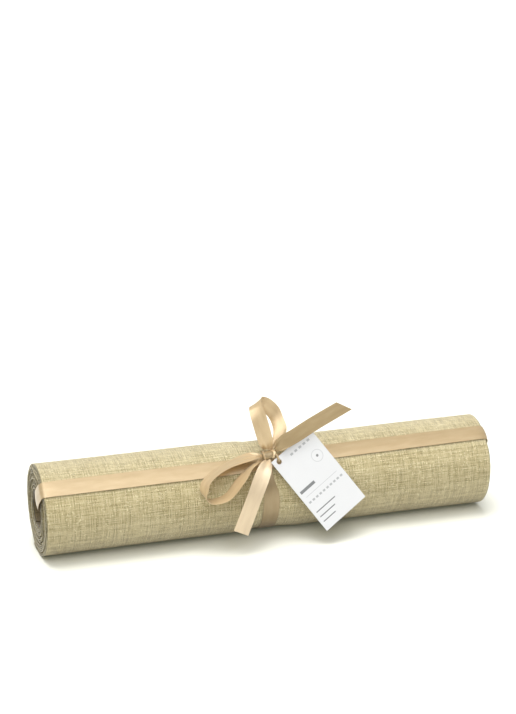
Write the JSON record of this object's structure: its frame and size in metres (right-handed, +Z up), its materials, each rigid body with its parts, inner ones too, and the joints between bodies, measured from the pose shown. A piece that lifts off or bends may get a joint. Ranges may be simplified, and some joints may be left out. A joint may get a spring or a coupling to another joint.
{
  "type": "fabric bolt",
  "caption": "Short roll of linen-look craft cloth, tied along and around with satin ribbon in a bow, with a card hang tag on a loop beside the knot.",
  "frame": {"origin": "on the surface the roll lies on, under the middle of its length", "axes": "+X along the roll to the right end, +Y to the back, +Z up; the bow and the tag are on the front"},
  "size_m": [0.3012, 0.0732, 0.0922],
  "materials": {
    "linen": "slubby plain weave with a few metallic threads",
    "satin": "champagne satin",
    "card": "uncoated white card"
  },
  "bodies": {
    "roll": {"fabric_roll": "linen", "long_ribbon": "satin", "girth_ribbon": "satin", "knot": "satin"},
    "upper_loop": {"upper_loop": "satin"},
    "left_loop": {"left_loop": "satin"},
    "lower_tail": {"lower_tail": "satin"},
    "right_tail": {"right_tail": "satin"},
    "tag_cord": {"tag_cord": "satin"},
    "tag_card": {"tag_card": "card"}
  },
  "joints": [
    {"name": "upper_loop_bend", "type": "hinge", "parent": "roll", "child": "upper_loop", "pos_m": [-0.0027, -0.01825, 0.05994], "axis": [1, 0, 0], "range_deg": [-12, 12], "stiffness_Nm_per_rad": 0.0005},
    {"name": "left_loop_lift", "type": "hinge", "parent": "roll", "child": "left_loop", "pos_m": [-0.00655, -0.02086, 0.05682], "axis": [0, 0.7986, 0.6018], "range_deg": [0, 20], "stiffness_Nm_per_rad": 0.0005},
    {"name": "lower_tail_lift", "type": "hinge", "parent": "roll", "child": "lower_tail", "pos_m": [-0.0033, -0.0233, 0.05464], "axis": [-1, 0, 0], "range_deg": [0, 60], "stiffness_Nm_per_rad": 0.0005},
    {"name": "right_tail_bend", "type": "hinge", "parent": "roll", "child": "right_tail", "pos_m": [0.0024, -0.02015, 0.05938], "axis": [0, 0.5566, 0.8308], "range_deg": [-20, 5], "stiffness_Nm_per_rad": 0.0005},
    {"name": "tag_lift", "type": "hinge", "parent": "roll", "child": "tag_cord", "pos_m": [0.0031, -0.02242, 0.05619], "axis": [-1, 0, 0], "range_deg": [0, 20]},
    {"name": "tag_swivel", "type": "hinge", "parent": "tag_cord", "child": "tag_card", "pos_m": [0.0042, -0.02403, 0.05274], "axis": [0, -0.9063, 0.4226], "range_deg": [-5, 15]}
  ]
}
